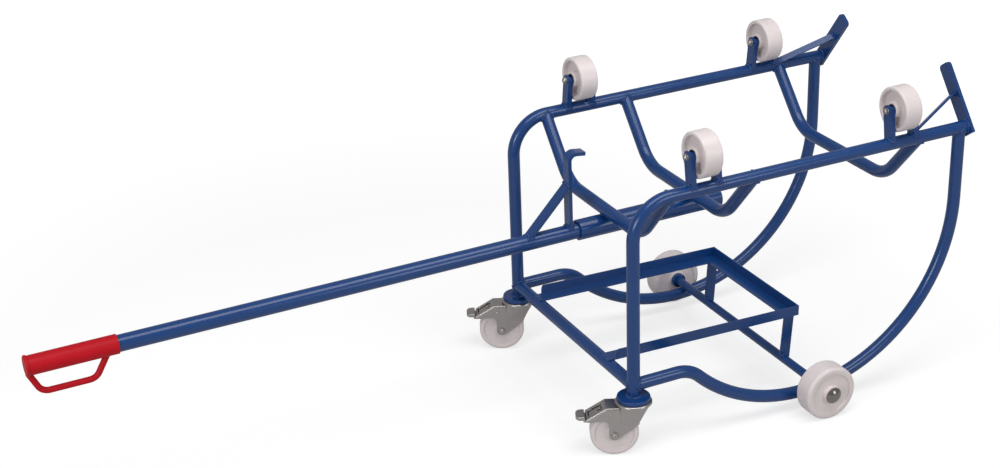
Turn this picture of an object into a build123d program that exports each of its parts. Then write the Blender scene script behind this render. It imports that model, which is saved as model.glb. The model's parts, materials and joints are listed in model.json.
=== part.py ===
from build123d import *
import os
from math import acos, asin, atan2, cos, degrees, hypot, radians, sin, sqrt

# Drum trolley for one lying 200 litre drum. Sizes are in millimetres, angles in degrees.
# The frame is drawn with its rails level: X runs along the rails towards the toe plates, Y to the
# left, Z up. X is 0 at the front legs, and Z is 0 at the underside of the caster wheels.
# The finished assembly is then tipped about Y until all four wheels stand on one floor.

# Frame tube and the side frames
TUBE_D = 28.0
TUBE_WALL = 2.0
RAIL_SPACING = 546.0
RAIL_Z = 577.5
RAIL_END_X = 840.0
FRONT_BEND_R = 86.0
LOWER_Z = 160.5
ROCKER_INSET = 16.0
ROCKER_R = 388.5
ROCKER_BOTTOM_Z = 25.0
ROCKER_S_BEND_R = 79.0
WELD_SINK = 1.5
SEAT_SINK = 0.5

# Saddle tubes that cross under the drum
FRONT_SADDLE_X = 84.0
MIDDLE_SADDLE_X = 292.5
REAR_SADDLE_X = 715.5
SADDLE_FLAT = 320.0
SADDLE_BEND_R = 90.0

# Lever, its socket and its grip
LEVER_DROP = 168.5
LEVER_DROOP = 0.27
LEVER_D = 35.0
LEVER_WALL = 3.0
LEVER_INSERT = 350.0
SOCKET_FRONT_X = 16.0
SOCKET_LENGTH = 360.0
SOCKET_WALL = 4.0
SOCKET_CLEARANCE = 1.5
GRIP_END_X = -1196.0
GRIP_LENGTH = 184.0
GRIP_WALL = 2.75
GRIP_CAP = 4.0
GRIP_FLANGE_PROUD = 2.0
GRIP_FLANGE_T = 6.0
GRIP_FLANGE_R = 1.2
GRIP_END_R = 3.0
GUARD_D = 13.0
GUARD_DROP = 63.0
GUARD_BEND_R = 24.0
GUARD_FRONT = 5.0
GUARD_FRONT_BEND = 26.0
GUARD_BACK_BEND = 134.0
GUARD_BACK = 161.0

# Drum hook on the lever
HOOK_W = 25.0
HOOK_T = 8.0
HOOK_BACK_X = 0.0
HOOK_HEIGHT = 191.0
HOOK_REACH = 34.0
HOOK_DIP = 5.0
HOOK_BEND_R = 15.0
HOOK_BRACE_FOOT = 98.0
HOOK_BRACE_TOP = 115.0

# Toe plates at the rail ends and their strip braces
TOE_W = 35.0
TOE_T = 8.0
TOE_LENGTH = 167.0
TOE_BELOW = 20.0
TOE_TILT = 36.6
TOE_CORNER_R = 9.0
BRACE_W = 15.0
BRACE_T = 5.0
BRACE_GAP = 2.0
BRACE_FOOT_RISE = 12.5
BRACE_RISE = 80.0

# Drum rollers between pairs of uprights on the rails
ROLLER_D = 100.0
ROLLER_W = 42.0
ROLLER_HUB_L = 45.0
ROLLER_HUB_D = 36.0
ROLLER_RIM = 9.0
ROLLER_RECESS = 13.0
ROLLER_EDGE_R = 4.0
ROLLER_RISE = 74.4
ROLLER_LEAN = 7.7
FRONT_ROLLER_X = 169.5
REAR_ROLLER_X = 668.5
UPRIGHT_W = 25.0
UPRIGHT_T = 12.0
UPRIGHT_DROP = 5.0
SPACER_D = 25.5
SPACER_T = 1.7
M8_D = 8.0
M8_ACROSS_FLATS = 13.0
M8_HEAD_T = 5.3
M8_NUT_T = 4.0
M8_THREAD_PROUD = 1.0

# Rear axle and its wheels
AXLE_D = 20.0
AXLE_X = 457.0
REAR_WHEEL_D = 125.0
REAR_WHEEL_W = 48.0
REAR_HUB_D = 40.0
REAR_BOSS = 6.0
REAR_RIM = 14.5
REAR_RECESS = 3.5
REAR_EDGE_R = 7.0
COLLAR_D = 35.0
COLLAR_T = 9.0
COLLAR_GAP = 7.6
CAP_D = 37.0
CAP_RIM = 2.5
CAP_HEIGHT = 11.0
CAP_GRIP = 4.0

# Shelf of angle iron for a drip can
SHELF_W = 358.0
ANGLE_LEDGE = 35.0
ANGLE_LIP = 23.5
ANGLE_T = 3.0
SHELF_FRONT = 5.0
SHELF_LIP_START = 18.0
SHELF_LIP_R = 12.0
SHELF_OVERHANG = 23.0
POST_W = 25.0
POST_T = 5.0
POST_FOOT_SHIFT = 3.0
POST_TOP_SHIFT = 9.0

# Swivel casters with brakes
CASTER_WHEEL_D = 105.0
CASTER_WHEEL_W = 35.0
CASTER_HUB_L = 39.0
CASTER_HUB_D = 34.0
CASTER_RIM = 10.0
CASTER_RECESS = 3.0
CASTER_EDGE_R = 6.0
CASTER_TRAIL = 42.0
CASTER_YAW = -25.0
FORK_DROP = 75.0
FORK_SHEET = 3.0
FORK_EYE_R = 12.0
CROWN_D = 80.0
CROWN_DEPTH = 15.0
CROWN_RIM = 6.0
CROWN_RIM_R = 4.0
CROWN_STEP = 2.0
CROWN_GAP = 1.0
FLARE_DEPTH = 34.0
FLARE_FRONT = 11.0
FLARE_BACK = 36.0
FLARE_CORNER_R = 7.0
FLANGE_D = 72.0
FLANGE_T = 8.0
FLANGE_EDGE_R = 1.5
HEAD_D = 62.0
HEAD_T = 5.0
BEARING_D = 58.0
BEARING_BORE = 30.0
KINGPIN_D = 12.0
KINGPIN_ACROSS_FLATS = 19.0
KINGPIN_HEAD_T = 7.5
BUSH_D = 12.0
COVER_FLAT = 61.0
COVER_SLOPE = 31.8
COVER_RUN = 49.5
COVER_DEPTH = 6.0
COVER_SKIRT = 30.0
COVER_TOP_GAP = 10.0
COVER_FOLD_R = 2.5
WINDOW_L = 36.0
WINDOW_W = 26.0
WINDOW_START = 8.0
PEDAL_T = 3.0
PEDAL_TAB_W = 37.0
PEDAL_TAB_L = 19.0
PEDAL_TAB_T = 8.0
PEDAL_TAB_RISE = 5.0
PEDAL_TAB_CORNER_R = 12.0
PEDAL_TAB_EDGE_R = 2.0
PEDAL_NECK_L = 4.5
PEDAL_NECK_W = 33.0
PEDAL_NECK_H = 6.0
PEDAL_PIVOT_IN = 4.0
PEDAL_PIVOT_DOWN = 8.0
PEDAL_EYE_R = 4.0
PEDAL_PIN_D = 5.0
SHOE_L = 12.0
SHOE_W = 24.0
SHOE_GAP = 2.5

# Corner radius of all moulded recesses, as a share of their depth
MOULD_ROUNDING = 0.2

# Clearances
RUNNING = 0.05
SIDE_PLAY = 0.4
PLATE_PLAY = 1.0
PEDAL_PLAY = 2.2

# Places that follow from the sizes above
SIDES = {"right": -1, "left": 1}
RAIL_Y = RAIL_SPACING / 2
TUBE_R = TUBE_D / 2
FLANGE_Z = FORK_DROP + CASTER_WHEEL_D / 2
FLANGE_TOP_Z = FLANGE_Z + FLANGE_T
LEVER_Z = RAIL_Z - LEVER_DROP
SOCKET_BORE = LEVER_D + 2 * SOCKET_CLEARANCE
SOCKET_D = SOCKET_BORE + 2 * SOCKET_WALL
SADDLE_Z = LEVER_Z + SOCKET_D / 2 + TUBE_R - SEAT_SINK
ROCKER_X = RAIL_END_X - ROCKER_INSET
ROCKER_CENTRE_X = ROCKER_X - ROCKER_R
ROCKER_CENTRE_Z = ROCKER_BOTTOM_Z + ROCKER_R
AXLE_R = AXLE_D / 2
ROCKER_Z_AT_AXLE = ROCKER_CENTRE_Z - sqrt(ROCKER_R ** 2 - (AXLE_X - ROCKER_CENTRE_X) ** 2)
AXLE_Z = ROCKER_Z_AT_AXLE + TUBE_R + AXLE_R - WELD_SINK
REAR_HUB_INNER_Y = RAIL_Y + TUBE_R + COLLAR_GAP + COLLAR_T + SIDE_PLAY
REAR_HUB_OUTER_Y = REAR_HUB_INNER_Y + REAR_WHEEL_W
AXLE_END_Y = REAR_HUB_OUTER_Y + REAR_BOSS + SIDE_PLAY + CAP_GRIP
ROLLER_GAP = ROLLER_HUB_L + 2 * (SPACER_T + SIDE_PLAY)
STAND_LENGTH = ROLLER_GAP + 2 * UPRIGHT_T
ROLLER_XS = {"front": FRONT_ROLLER_X, "rear": REAR_ROLLER_X}
SADDLE_XS = {"front": FRONT_SADDLE_X, "middle": MIDDLE_SADDLE_X, "rear": REAR_SADDLE_X}
FORK_INSIDE = CASTER_HUB_L + 2 * SIDE_PLAY
FORK_OUTSIDE = FORK_INSIDE + 2 * FORK_SHEET
CROWN_UNDERSIDE = CROWN_GAP + CROWN_DEPTH
WAIST_Z = -CROWN_UNDERSIDE - FLARE_DEPTH


def floor_tilt():
    """Angle that puts the caster wheels and the larger rear wheels on one floor."""
    run = AXLE_X + CASTER_TRAIL * cos(radians(CASTER_YAW))
    rise = AXLE_Z - CASTER_WHEEL_D / 2
    step = (REAR_WHEEL_D - CASTER_WHEEL_D) / 2
    return degrees(asin(step / hypot(run, rise)) - atan2(rise, run))


TILT = floor_tilt()


# Stock shapes

def rod(path, diameter):
    """Solid round bar along a path."""
    start = Plane(origin=path @ 0, z_dir=path % 0)
    return sweep(start * Circle(diameter / 2), path=path)


def tube(path, diameter, wall):
    """Round tube along a path."""
    return rod(path, diameter) - rod(path, diameter - 2 * wall)


def flat_bar(path, width, thickness, across):
    """Flat bar along a path, its width lying along the direction across."""
    start = Plane(origin=path @ 0, x_dir=across, z_dir=path % 0)
    return sweep(start * Rectangle(width, thickness), path=path)


def x_pin(start, end, diameter):
    """Round bar on the X axis between two places."""
    bar = Cylinder(diameter / 2, end - start, align=(Align.CENTER, Align.CENTER, Align.MIN))
    return Pos(start, 0, 0) * Rot(Y=90) * bar


def y_pin(start, end, diameter):
    """Round bar on the Y axis between two places."""
    bar = Cylinder(diameter / 2, end - start, align=(Align.CENTER, Align.CENTER, Align.MIN))
    return Pos(0, start, 0) * Rot(X=-90) * bar


def z_disc(bottom, top, diameter):
    """Round disc on the Z axis between two heights."""
    disc = Cylinder(diameter / 2, top - bottom, align=(Align.CENTER, Align.CENTER, Align.MIN))
    return Pos(0, 0, bottom) * disc


def rounded_disc(bottom, top, diameter, edge_r):
    """Round disc on the Z axis with a rounded upper edge."""
    disc = z_disc(bottom, top, diameter)
    return fillet(disc.edges().group_by(Axis.Z)[-1], edge_r)


def hexagon(across_flats, thickness):
    """Hexagon nut blank or bolt head standing on the XY plane."""
    return extrude(RegularPolygon(across_flats / 2, 6, major_radius=False), amount=thickness)


def xz_slab(sketch, width):
    """Sketch in (x, z) thickened evenly to both sides of the XZ plane."""
    return extrude(Plane.XZ * sketch, amount=width / 2, both=True)


def wheel(tread, web, hub, bore):
    """Moulded wheel about Z, recessed on both sides between its rim and its hub."""
    def band(inner, outer, height):
        return Pos((inner + outer) / 2, 0) * Rectangle(outer - inner, height)

    diameter, width, edge_r = tread
    rim_depth, recess = web
    hub_d, hub_length = hub
    rim = diameter / 2 - rim_depth
    corner_r = recess * MOULD_ROUNDING
    section = band(rim, diameter / 2, width) + band(hub_d / 2, rim, width - 2 * recess)
    section += band(bore / 2, hub_d / 2, hub_length)
    section = fillet(section.vertices().group_by(Axis.X)[-1], edge_r)
    corners = [v for v in section.vertices() if hub_d / 2 - SIDE_PLAY < v.X < rim + SIDE_PLAY]
    section = fillet(corners, corner_r)
    return revolve(Plane.XZ * section, axis=Axis.Z)


def group(pieces):
    """Several like pieces in one node."""
    return Compound([piece.solid() for piece in pieces])


# Side frames

def rail_path(side):
    """Leg, front bend and rail of one side."""
    y = side * RAIL_Y
    corners = [(0, y, FLANGE_TOP_Z), (0, y, RAIL_Z), (RAIL_END_X, y, RAIL_Z)]
    return FilletPolyline(*corners, radius=FRONT_BEND_R)


def rocker_path(side):
    """Down from the rail's end, round the big rocking arc, and by an S bend to the leg."""
    y = side * RAIL_Y
    bend_z = LOWER_Z - ROCKER_S_BEND_R
    reach = ROCKER_R + ROCKER_S_BEND_R
    turn = degrees(acos((ROCKER_CENTRE_Z - bend_z) / reach))
    bend_x = ROCKER_CENTRE_X - reach * sin(radians(turn))

    def on_rocker(angle):
        return (ROCKER_CENTRE_X + ROCKER_R * cos(radians(angle)), y,
                ROCKER_CENTRE_Z + ROCKER_R * sin(radians(angle)))

    def on_bend(angle):
        return (bend_x + ROCKER_S_BEND_R * cos(radians(angle)), y,
                bend_z + ROCKER_S_BEND_R * sin(radians(angle)))

    meet = 270 - turn
    upright = Line((ROCKER_X, y, RAIL_Z), on_rocker(0))
    arc = ThreePointArc(on_rocker(360), on_rocker((360 + meet) / 2), on_rocker(meet))
    bend = ThreePointArc(on_bend(90 - turn), on_bend(90 - turn / 2), on_bend(90))
    run = Line(on_bend(90), (0, y, LOWER_Z))
    return Wire([upright, arc, bend, run])


def saddle_path(x):
    """From rail to rail, dipping to a flat stretch below the drum."""
    corners = [(x, -RAIL_Y, RAIL_Z), (x, -SADDLE_FLAT / 2, SADDLE_Z),
               (x, SADDLE_FLAT / 2, SADDLE_Z), (x, RAIL_Y, RAIL_Z)]
    return FilletPolyline(*corners, radius=SADDLE_BEND_R)


def axle_rod():
    return Pos(AXLE_X, 0, AXLE_Z) * y_pin(-AXLE_END_Y, AXLE_END_Y, AXLE_D)


def socket_rod(diameter):
    return Pos(0, 0, LEVER_Z) * x_pin(SOCKET_FRONT_X, SOCKET_FRONT_X + SOCKET_LENGTH, diameter)


RAIL_RODS = {name: rod(rail_path(side), TUBE_D) for name, side in SIDES.items()}
ROCKER_RODS = {name: rod(rocker_path(side), TUBE_D) for name, side in SIDES.items()}
CROSS_LINE = Line((0, -RAIL_Y, LOWER_Z), (0, RAIL_Y, LOWER_Z))


def rail(name):
    return tube(rail_path(SIDES[name]), TUBE_D, TUBE_WALL)


def rocker(name):
    """Rocker tube, coped to the rail and the leg, with a shallow notch under the axle."""
    return tube(rocker_path(SIDES[name]), TUBE_D, TUBE_WALL) - RAIL_RODS[name] - axle_rod()


def saddle(x):
    """Saddle tube, coped to both rails and to the lever socket."""
    return tube(saddle_path(x), TUBE_D, TUBE_WALL) - list(RAIL_RODS.values()) - socket_rod(SOCKET_D)


def front_cross_tube():
    coped = tube(CROSS_LINE, TUBE_D, TUBE_WALL) - list(RAIL_RODS.values())
    return coped - list(ROCKER_RODS.values())


def lever_socket():
    return socket_rod(SOCKET_D) - socket_rod(SOCKET_BORE)


# Toe plates

def at_rail(x, side, lean):
    """Place on the rail's axis, with Z leaning inwards by an angle."""
    return Pos(x, side * RAIL_Y, RAIL_Z) * Rot(X=side * lean)


def toe_plate(side):
    """Flat bar across the rail's end, leaning in over the drum's rim, with rounded upper corners."""
    outline = Pos(0, TOE_LENGTH / 2 - TOE_BELOW) * Rectangle(TOE_W, TOE_LENGTH)
    outline = fillet(outline.vertices().group_by(Axis.Y)[-1], TOE_CORNER_R)
    return at_rail(RAIL_END_X, side, TOE_TILT) * extrude(Plane.YZ * outline, amount=TOE_T)


def toe_brace(name):
    """Strip from the top of the rail, behind the rear roller, to the middle of the toe plate."""
    side = SIDES[name]
    foot_x = REAR_ROLLER_X + STAND_LENGTH / 2 + BRACE_GAP
    foot = (foot_x, 0, BRACE_FOOT_RISE)
    top = (RAIL_END_X + TOE_T / 2, 0, BRACE_RISE)
    strip = flat_bar(Line(foot, top), BRACE_W, BRACE_T, (0, 1, 0))
    strip = at_rail(0, side, TOE_TILT) * strip - RAIL_RODS[name] - toe_plate(side)
    return strip - rod(saddle_path(REAR_SADDLE_X), TUBE_D)


# Drum rollers

def uprights(name, x):
    """Two flat uprights that hold one roller, coped to the rail, with round tops lower at the roller."""
    outline = Pos(0, ROLLER_RISE / 2) * Rectangle(UPRIGHT_W, ROLLER_RISE)
    outline += Pos(0, ROLLER_RISE) * Circle(UPRIGHT_W / 2)
    outline -= Pos(0, ROLLER_RISE) * Circle(M8_D / 2 + RUNNING)
    plate = extrude(Plane.YZ * outline, amount=UPRIGHT_T)
    low = (UPRIGHT_T, 0, ROLLER_RISE + UPRIGHT_W / 2 - UPRIGHT_DROP)
    plate = split(plate, bisect_by=Plane(origin=low, z_dir=(UPRIGHT_DROP, 0, 0.75 * UPRIGHT_T)), keep=Keep.BOTTOM)
    front = Pos(-STAND_LENGTH / 2, 0, 0) * plate
    stand = at_rail(x, SIDES[name], ROLLER_LEAN)
    return group(stand * one - RAIL_RODS[name] for one in (front, mirror(front, about=Plane.YZ)))


def roller_axis(side, x):
    """Place of a roller's centre, with Z along the roller's axle."""
    return at_rail(x, side, ROLLER_LEAN) * Pos(0, 0, ROLLER_RISE) * Rot(Y=90)


def drum_roller():
    tread = (ROLLER_D, ROLLER_W, ROLLER_EDGE_R)
    hub = (ROLLER_HUB_D, ROLLER_HUB_L)
    return wheel(tread, (ROLLER_RIM, ROLLER_RECESS), hub, M8_D + 2 * RUNNING)


def roller_bolt():
    """Hexagon bolt along Z, with its head outside the front upright."""
    half = STAND_LENGTH / 2
    shank = z_disc(-half, half + M8_NUT_T + M8_THREAD_PROUD, M8_D)
    return shank + Pos(0, 0, -half - M8_HEAD_T) * hexagon(M8_ACROSS_FLATS, M8_HEAD_T)


def m8_nut():
    return hexagon(M8_ACROSS_FLATS, M8_NUT_T) - z_disc(0, M8_NUT_T, M8_D)


def roller_spacers():
    """Two plastic washers that keep a roller's hub off its uprights."""
    ring = z_disc(0, SPACER_T, SPACER_D) - z_disc(0, SPACER_T, M8_D + 2 * RUNNING)
    return [Pos(0, 0, place) * ring for place in (-ROLLER_GAP / 2, ROLLER_GAP / 2 - SPACER_T)]


# Lever, drawn along the X axis

def lever_place():
    """Place of the lever: it droops by the play in its socket, about the middle of its insert."""
    middle = SOCKET_FRONT_X + LEVER_INSERT / 2
    return Pos(middle, 0, LEVER_Z) * Rot(Y=-LEVER_DROOP) * Pos(-middle, 0, 0)


def lever_tube():
    start = GRIP_END_X + GRIP_CAP
    end = SOCKET_FRONT_X + LEVER_INSERT
    return x_pin(start, end, LEVER_D) - x_pin(start, end, LEVER_D - 2 * LEVER_WALL)


def solid_lever():
    """Lever without its bore, to cope what is welded or pushed on it."""
    return x_pin(GRIP_END_X + GRIP_CAP, SOCKET_FRONT_X, LEVER_D)


def hook_path():
    """Up from the lever's axis, round the bend, and out with a slight dip to the tip."""
    x = HOOK_BACK_X - HOOK_T / 2
    top = HOOK_HEIGHT - HOOK_T / 2
    corners = [(x, 0, 0), (x, 0, top), (HOOK_BACK_X + HOOK_REACH, 0, top - HOOK_DIP)]
    return FilletPolyline(*corners, radius=HOOK_BEND_R)


def drum_hook():
    """Flat bar standing on the lever, bent over at its top to catch the drum's rim."""
    return flat_bar(hook_path(), HOOK_W, HOOK_T, (0, 1, 0)) - solid_lever()


def hook_brace():
    """Diagonal flat bar between the lever and the hook."""
    hook_x = HOOK_BACK_X - HOOK_T / 2
    slope = (HOOK_BRACE_TOP - LEVER_D / 2) / (HOOK_BRACE_FOOT + hook_x)
    foot_x = -HOOK_BRACE_FOOT - LEVER_D / 2 / slope
    line = Line((foot_x, 0, 0), (hook_x, 0, HOOK_BRACE_TOP))
    return flat_bar(line, HOOK_W, HOOK_T, (0, 1, 0)) - solid_lever() - drum_hook()


def grip_sleeve():
    """Closed sleeve along X from its end flange, drawn as a section and turned."""
    radius = LEVER_D / 2 + GRIP_WALL
    low = (Align.MIN, Align.MIN)
    section = Rectangle(GRIP_LENGTH, radius, align=low)
    section += Rectangle(GRIP_FLANGE_T, radius + GRIP_FLANGE_PROUD, align=low)
    section = fillet(section.vertices().group_by(Axis.Y)[-1].sort_by(Axis.X)[-1], GRIP_FLANGE_R)
    section = fillet(section.vertices().group_by(Axis.Y)[-1].sort_by(Axis.X)[0], GRIP_END_R)
    return revolve(section, axis=Axis.X)


def grip_guard():
    """Hand guard: a round bow under the sleeve."""
    inside = -LEVER_D / 2
    corners = [(GUARD_FRONT, 0, inside), (GUARD_FRONT_BEND, 0, -GUARD_DROP),
               (GUARD_BACK_BEND, 0, -GUARD_DROP), (GUARD_BACK, 0, inside)]
    return rod(FilletPolyline(*corners, radius=GUARD_BEND_R), GUARD_D)


def grip():
    """Moulded grip in one piece, pushed over the lever's end."""
    return Pos(GRIP_END_X, 0, 0) * (grip_sleeve() + grip_guard()) - solid_lever()


# Rear axle

def rear_wheel_place(side):
    """Centre of a rear wheel, with Z pointing outwards along the axle."""
    return Pos(AXLE_X, side * (REAR_HUB_INNER_Y + REAR_HUB_OUTER_Y) / 2, AXLE_Z) * Rot(X=-side * 90)


def rear_wheel():
    """Wheel with a longer hub on its outer side."""
    bore = AXLE_D + 2 * RUNNING
    boss_top = REAR_WHEEL_W / 2 + REAR_BOSS
    boss = z_disc(0, boss_top, REAR_HUB_D) - z_disc(0, boss_top, bore)
    tread = (REAR_WHEEL_D, REAR_WHEEL_W, REAR_EDGE_R)
    return wheel(tread, (REAR_RIM, REAR_RECESS), (REAR_HUB_D, REAR_WHEEL_W), bore) + boss


def axle_collar():
    """Ring on the axle at the wheel's inner side."""
    top = -REAR_WHEEL_W / 2 - SIDE_PLAY
    return z_disc(top - COLLAR_T, top, COLLAR_D) - z_disc(top - COLLAR_T, top, AXLE_D)


def wheel_cap():
    """Domed cap pushed on the axle's end."""
    base = REAR_WHEEL_W / 2 + REAR_BOSS + SIDE_PLAY
    dome_h = CAP_HEIGHT - CAP_RIM
    dome_r = ((CAP_D / 2) ** 2 + dome_h ** 2) / (2 * dome_h)
    half_angle = degrees(acos(1 - dome_h / dome_r))
    dome = CenterArc((0, CAP_HEIGHT - dome_r), dome_r, 90 - half_angle, half_angle)
    sides = Polyline((0, CAP_HEIGHT), (0, 0), (CAP_D / 2, 0), (CAP_D / 2, CAP_RIM))
    section = make_face([dome, *sides.edges()])
    return Pos(0, 0, base) * revolve(Plane.XZ * section, axis=Axis.Z) - z_disc(0, base + CAP_GRIP, AXLE_D)


# Shelf, drawn level on the front cross tube

def shelf_place():
    """Ledge plane of the shelf: on the front cross tube, and level once the trolley stands."""
    return Pos(0, 0, LOWER_Z) * Rot(Y=TILT) * Pos(0, 0, TUBE_R - SEAT_SINK)


def shelf_axle():
    """Place of the axle, seen from the shelf."""
    return (shelf_place().inverse() * Pos(AXLE_X, 0, AXLE_Z)).position


def angle_iron(length):
    """Angle along X with its lip on the side of negative Y and its ledge reaching to positive Y."""
    ledge = Box(length, ANGLE_LEDGE, ANGLE_T, align=Align.MIN)
    return ledge + Box(length, ANGLE_T, ANGLE_LIP, align=Align.MIN)


def mitred(angle, corner, towards):
    """Angle cut at 45 degrees by an upright plane through a corner."""
    return split(angle, bisect_by=Plane(origin=corner, z_dir=towards), keep=Keep.TOP)


def shelf_side(side):
    """Side angle: rests on the front cross tube, rounded lip in front, mitred at the back."""
    back = shelf_axle().X + SHELF_OVERHANG
    angle = Pos(-SHELF_FRONT, -SHELF_W / 2, 0) * angle_iron(SHELF_FRONT + back)
    lip_full = SHELF_LIP_START + SHELF_LIP_R
    straight = ANGLE_LIP - SHELF_LIP_R
    missing = Rectangle(lip_full, ANGLE_LIP, align=Align.MIN)
    kept = Pos(lip_full, 0) * Rectangle(SHELF_LIP_R, straight, align=(Align.MAX, Align.MIN))
    kept += Pos(lip_full, straight) * Circle(SHELF_LIP_R)
    notch = xz_slab(missing - kept, 2 * ANGLE_T)
    angle -= Pos(-SHELF_FRONT, -SHELF_W / 2, ANGLE_T) * notch
    angle = mitred(angle, (back, -SHELF_W / 2, 0), (-1, -1, 0))
    if side > 0:
        angle = mirror(angle, about=Plane.XZ)
    return shelf_place() * angle - rod(CROSS_LINE, TUBE_D)


def shelf_back():
    """Back angle, mitred to both side angles."""
    back = shelf_axle().X + SHELF_OVERHANG
    angle = Pos(back, -SHELF_W / 2, 0) * Rot(Z=90) * angle_iron(SHELF_W)
    angle = mitred(angle, (back, -SHELF_W / 2, 0), (1, 1, 0))
    angle = mitred(angle, (back, SHELF_W / 2, 0), (1, -1, 0))
    return shelf_place() * angle


def shelf_post(side):
    """Flat bar standing on the axle under a side angle, leaning back a little."""
    axle = shelf_axle()
    foot = axle.X + POST_FOOT_SHIFT - POST_W / 2
    top = axle.X + POST_TOP_SHIFT - POST_W / 2
    outline = Polyline((foot, axle.Z), (foot + POST_W, axle.Z), (top + POST_W, 0), (top, 0), close=True)
    post = Pos(0, side * (SHELF_W - ANGLE_LEDGE) / 2, 0) * xz_slab(make_face(outline), POST_T)
    return shelf_place() * post - axle_rod()


# Casters, drawn with Z = 0 at the flange's underside and the wheel trailing to negative X

def caster_place(side):
    return Pos(0, side * RAIL_Y, FLANGE_Z) * Rot(Z=CASTER_YAW)


def wheel_centre():
    """Caster wheel's centre, with Z along its axle."""
    return Pos(-CASTER_TRAIL, 0, -FORK_DROP) * Rot(X=90)


def cover_slope():
    """Bend of the brake cover, with X pointing up its slope and Z out of its top."""
    return Pos(-COVER_FLAT, 0, -COVER_TOP_GAP) * Rot(Y=-COVER_SLOPE)


def pedal_pivot():
    """Axis of the brake pedal, with Z along its pin."""
    return cover_slope() * Pos(-PEDAL_PIVOT_IN, 0, -PEDAL_PIVOT_DOWN) * Rot(X=90)


def caster_flange():
    """Disc welded under the leg, with a tapped hole for the kingpin."""
    return rounded_disc(0, FLANGE_T, FLANGE_D, FLANGE_EDGE_R) - z_disc(0, FLANGE_T, KINGPIN_D)


def caster_head():
    """Fixed upper race of the swivel."""
    return z_disc(-HEAD_T, 0, HEAD_D) - z_disc(-HEAD_T, 0, KINGPIN_D)


def kingpin():
    """Bolt that holds the fork's crown up against the swivel bearing."""
    head_top = -CROWN_UNDERSIDE - SIDE_PLAY
    shank = z_disc(head_top, FLANGE_T, KINGPIN_D)
    return shank + Pos(0, 0, head_top - KINGPIN_HEAD_T) * hexagon(KINGPIN_ACROSS_FLATS, KINGPIN_HEAD_T)


def swivel_bearing():
    """Ball ring that lies in the crown."""
    bottom = FORK_SHEET - CROWN_UNDERSIDE
    top = -HEAD_T - SIDE_PLAY
    return z_disc(bottom, top, BEARING_D) - z_disc(bottom, top, BEARING_BORE)


def crown_cup():
    """Room for the bearing in the fork's crown."""
    return z_disc(FORK_SHEET - CROWN_UNDERSIDE, 0, HEAD_D + 2 * PLATE_PLAY)


def flare_section(shrink):
    """Outline of the fork's waist, made smaller all round but at its open back."""
    length = FLARE_FRONT + FLARE_BACK - shrink
    outline = RectangleRounded(length, FORK_OUTSIDE - 2 * shrink, FLARE_CORNER_R - shrink)
    return Pos(FLARE_FRONT - shrink - length / 2, 0, WAIST_Z) * outline


def fork_room():
    """Hollow between the fork's legs: round in front, open behind and below the waist."""
    front = CROWN_D / 2 - 4 * FORK_SHEET
    top = RectangleRounded(front + FLARE_BACK, FORK_INSIDE, FORK_INSIDE / 3)
    top = Pos((front - FLARE_BACK) / 2, 0, -CROWN_UNDERSIDE) * top
    depth = FORK_DROP + CASTER_WHEEL_D
    behind = Box(depth, FORK_INSIDE, depth, align=(Align.MAX, Align.CENTER, Align.MAX))
    below = Box(2 * depth, FORK_INSIDE, depth, align=(Align.CENTER, Align.CENTER, Align.MAX))
    room = loft([flare_section(FORK_SHEET), top])
    return room + Pos(0, 0, -CROWN_UNDERSIDE) * behind + Pos(0, 0, WAIST_Z) * below


def fork_legs():
    """Pressed legs: seen from the side they taper from the crown to the axle eye."""
    eye = Pos(-CASTER_TRAIL, -FORK_DROP) * Circle(FORK_EYE_R)
    back = CASTER_TRAIL + FORK_EYE_R
    shoulder = Rectangle(FLARE_FRONT + back, FLARE_DEPTH, align=(Align.MIN, Align.MAX))
    side_view = make_hull(eye.edges() + (Pos(-back, -CROWN_UNDERSIDE) * shoulder).edges())
    return xz_slab(side_view, FORK_OUTSIDE)


def fork_bell():
    """Round crown with a rolled rim, narrowing like a bell to the flat legs."""
    rim_z = -CROWN_GAP - CROWN_RIM
    bell = loft([flare_section(0), Pos(0, 0, rim_z) * Circle(CROWN_D / 2 - CROWN_STEP)])
    return bell + rounded_disc(rim_z, -CROWN_GAP, CROWN_D, CROWN_RIM_R)


def caster_fork():
    """Fork with its crown, bored for the kingpin and the wheel bolt."""
    body = fork_legs() + fork_bell() - fork_room() - crown_cup()
    body -= z_disc(-CROWN_UNDERSIDE, 0, KINGPIN_D + 2 * RUNNING)
    return body - wheel_centre() * z_disc(-FORK_OUTSIDE, FORK_OUTSIDE, M8_D)


def cover_outline(depth, top):
    """Side view of the brake cover, with its top lowered and its skirt reaching to a depth."""
    slope = cover_slope()
    start = (slope * Pos(0, 0, -top)).position
    end = (slope * Pos(-COVER_RUN, 0, -top)).position
    low = (slope * Pos(-COVER_RUN, 0, -depth)).position
    skirt = -COVER_TOP_GAP - COVER_SKIRT - (depth - COVER_DEPTH)
    points = [(0, start.Z), (start.X, start.Z), (end.X, end.Z), (low.X, low.Z),
              (-COVER_FLAT, skirt), (0, skirt)]
    return make_face(Polyline(*points, close=True))


def fold_edges(cover):
    """Upper edges of the cover along both of its sides."""
    slope_middle = (cover_slope() * Pos(-COVER_RUN / 2, 0, 0)).position
    middles = [(-COVER_FLAT / 2, -COVER_TOP_GAP), (slope_middle.X, slope_middle.Z)]
    sides = cover.edges().filter_by(lambda edge: abs(edge.center().Y) > FORK_INSIDE / 2)
    return [edge for edge in sides for x, z in middles
            if hypot(edge.center().X - x, edge.center().Z - z) < SIDE_PLAY]


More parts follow.
